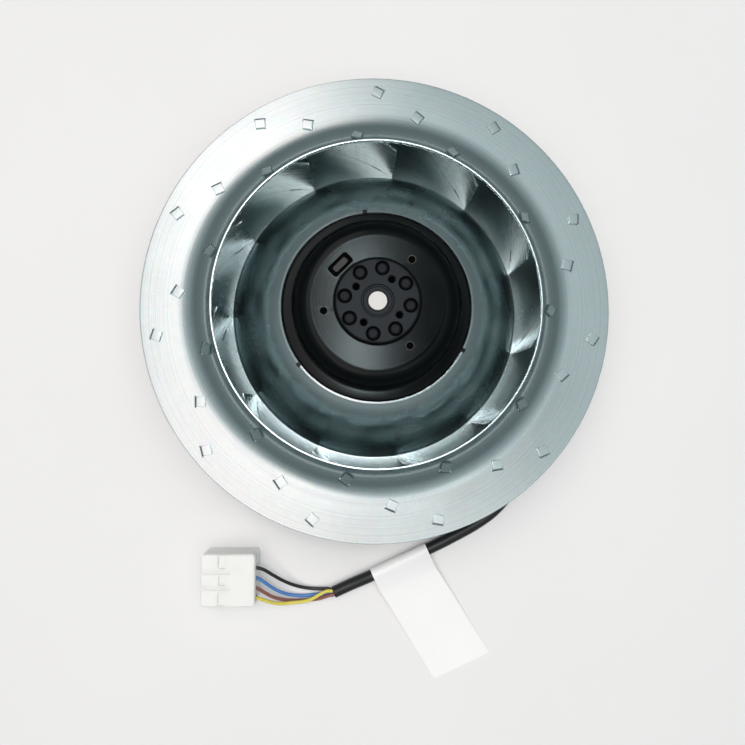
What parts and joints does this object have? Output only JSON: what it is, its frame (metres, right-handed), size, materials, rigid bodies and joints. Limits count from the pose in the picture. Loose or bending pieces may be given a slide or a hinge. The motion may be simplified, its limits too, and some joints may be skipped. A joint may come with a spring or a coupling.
{
  "type": "motorized impeller",
  "caption": "Single-inlet centrifugal wheel with backward-curved sheet-steel blades on a black external-rotor motor, with its lead, flag label and connector.",
  "frame": {"origin": "on the fan's axis, in the plane of the stator flange's mounting face, on which it lies", "axes": "+Z along the fan's axis towards the inlet; +X to the right in the picture, +Y away from the lead"},
  "size_m": [0.22, 0.2974, 0.0575],
  "materials": {
    "galvanised_sheet": "satin, fine turned lines",
    "black_electrocoat": "satin black coat",
    "ground_steel": "ground",
    "cast_alloy": "as cast",
    "laminations": "stacked sheet edges",
    "copper_wire": "enamelled winding",
    "bearing_steel": "polished",
    "black_plastic": "moulded",
    "collar_plastic": "moulded",
    "sleeve_pvc": "soft satin",
    "wire_black": "extruded",
    "wire_blue": "extruded",
    "wire_brown": "extruded",
    "wire_green_yellow": "extruded, two colours",
    "natural_nylon": "moulded, slightly translucent",
    "tinned_brass": "tin plated",
    "label_vinyl": "bare white film"
  },
  "bodies": {
    "stator": {"stator_core": "laminations", "stator_flange": "cast_alloy", "stator_winding": "copper_wire", "winding_collar_front": "collar_plastic", "winding_collar_rear": "collar_plastic", "front_bearing_outer_ring": "bearing_steel", "rear_bearing_outer_ring": "bearing_steel", "bearing_wave_washer": "bearing_steel", "rear_dust_cap": "black_plastic", "cable_gland": "black_plastic", "cable_sleeve": "sleeve_pvc", "wire_black": "wire_black", "wire_blue": "wire_blue", "wire_brown": "wire_brown", "wire_green_yellow": "wire_green_yellow", "connector_housing": "natural_nylon", "connector_contact_1": "tinned_brass", "connector_contact_2": "tinned_brass", "connector_contact_3": "tinned_brass", "connector_contact_4": "tinned_brass", "flag_label": "label_vinyl"},
    "rotor": {"front_shroud": "galvanised_sheet", "back_plate": "galvanised_sheet", "blade_01": "galvanised_sheet", "blade_02": "galvanised_sheet", "blade_03": "galvanised_sheet", "blade_04": "galvanised_sheet", "blade_05": "galvanised_sheet", "blade_06": "galvanised_sheet", "blade_07": "galvanised_sheet", "blade_08": "galvanised_sheet", "blade_09": "galvanised_sheet", "blade_10": "galvanised_sheet", "blade_11": "galvanised_sheet", "rotor_can": "black_electrocoat", "rotor_hub": "black_electrocoat", "rotor_shaft": "ground_steel", "rotor_rivet_1": "black_electrocoat", "rotor_rivet_2": "black_electrocoat", "rotor_rivet_3": "black_electrocoat", "rotor_rivet_4": "black_electrocoat", "rotor_rivet_5": "black_electrocoat", "rotor_rivet_6": "black_electrocoat", "rotor_rivet_7": "black_electrocoat", "rotor_rivet_8": "black_electrocoat", "rotor_core": "laminations", "cage_ring_front": "cast_alloy", "cage_ring_rear": "cast_alloy", "shaft_retaining_ring": "bearing_steel", "front_bearing_inner_ring": "bearing_steel", "rear_bearing_inner_ring": "bearing_steel"},
    "front_ball_set": {"front_bearing_balls": "bearing_steel"},
    "rear_ball_set": {"rear_bearing_balls": "bearing_steel"}
  },
  "joints": [
    {"name": "rotor_spin", "type": "hinge", "parent": "stator", "child": "rotor", "pos_m": [0, 0, 0.03], "axis": [0, 0, 1], "continuous": true},
    {"name": "front_balls_spin", "type": "hinge", "parent": "stator", "child": "front_ball_set", "pos_m": [0, 0, 0.0405], "axis": [0, 0, 1], "continuous": true},
    {"name": "rear_balls_spin", "type": "hinge", "parent": "stator", "child": "rear_ball_set", "pos_m": [0, 0, 0.011], "axis": [0, 0, 1], "continuous": true}
  ],
  "couplings": [
    {"joint": "front_balls_spin", "follows": "rotor_spin", "ratio": 0.3773},
    {"joint": "rear_balls_spin", "follows": "rotor_spin", "ratio": 0.3773}
  ]
}
